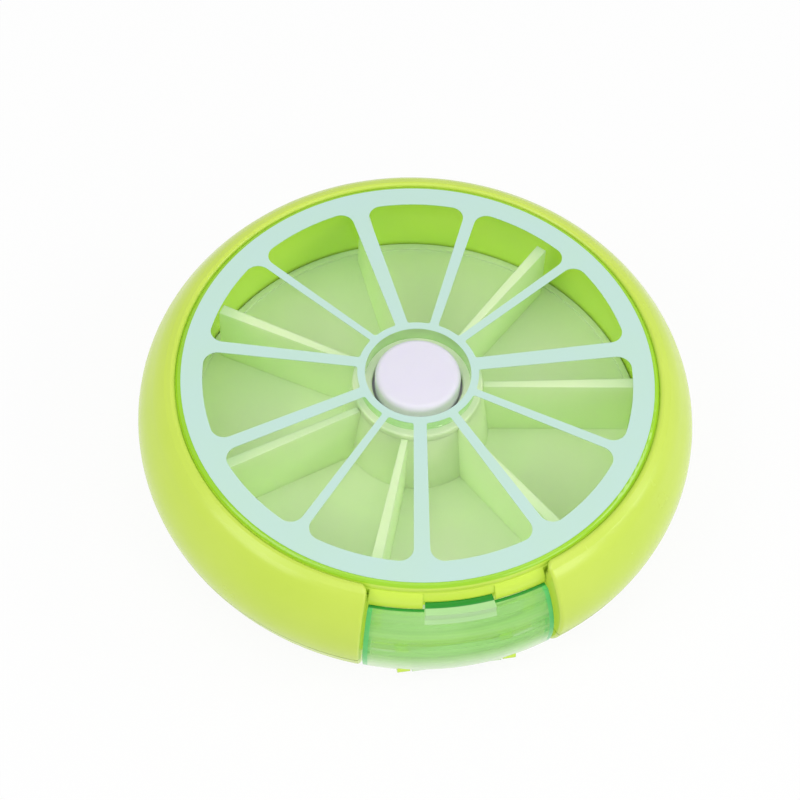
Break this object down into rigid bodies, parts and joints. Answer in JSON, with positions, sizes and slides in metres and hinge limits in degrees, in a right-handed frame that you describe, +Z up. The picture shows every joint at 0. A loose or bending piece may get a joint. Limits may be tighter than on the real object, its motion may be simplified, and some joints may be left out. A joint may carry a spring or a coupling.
{
  "type": "weekly pill organizer",
  "caption": "Round pill box: a turning tray of cells under a clear printed cover, a push button in the middle that frees the tray, and a hinged flap where one cell's pills come out.",
  "frame": {"origin": "centre of the foot's face, on the axis that the tray turns about", "axes": "+Z up along the tray's axis; -Y towards the flap; +X to the right of someone who faces the flap"},
  "size_m": [0.09, 0.0889, 0.024],
  "materials": {
    "rim_lime": "glossy opaque yellow-lime",
    "drum_lime": "glossy saturated green-lime",
    "clear_green": "clear, green-tinted and polished",
    "ink_aqua": "opaque satin ink",
    "tray_green": "pale green, slightly translucent",
    "button_white": "satin white",
    "steel": "plain zinc-plated"
  },
  "bodies": {
    "case": {"base_shell": "rim_lime", "outer_rim": "rim_lime", "case_drum": "drum_lime", "top_cover": "clear_green", "cover_print": "ink_aqua", "bottom_plug": "rim_lime", "thrust_washer": "steel", "detent_spring": "steel", "detent_screw": "steel", "case_screws": "steel", "door_pin": "steel"},
    "tray": {"pill_tray": "tray_green", "hub_collar": "tray_green"},
    "button": {"button_cap": "button_white", "button_stem": "button_white", "brake_washer": "steel", "stem_screw": "steel", "return_spring": "steel"},
    "door": {"door_flap": "clear_green"}
  },
  "joints": [
    {"name": "tray_spin", "type": "hinge", "parent": "case", "child": "tray", "pos_m": [0, 0, 0.00607], "axis": [0, 0, 1], "continuous": true, "deforming": ["detent_spring"]},
    {"name": "button_press", "type": "slide", "parent": "tray", "child": "button", "axis": [0, 0, -1], "range_m": [0, 0.0018], "stiffness_N_per_m": 400, "springref_m": -0.002, "deforming": ["return_spring"]},
    {"name": "door_hinge", "type": "hinge", "parent": "case", "child": "door", "pos_m": [0, -0.04089, 0.00467], "axis": [1, 0, 0], "range_deg": [0, 100]}
  ]
}
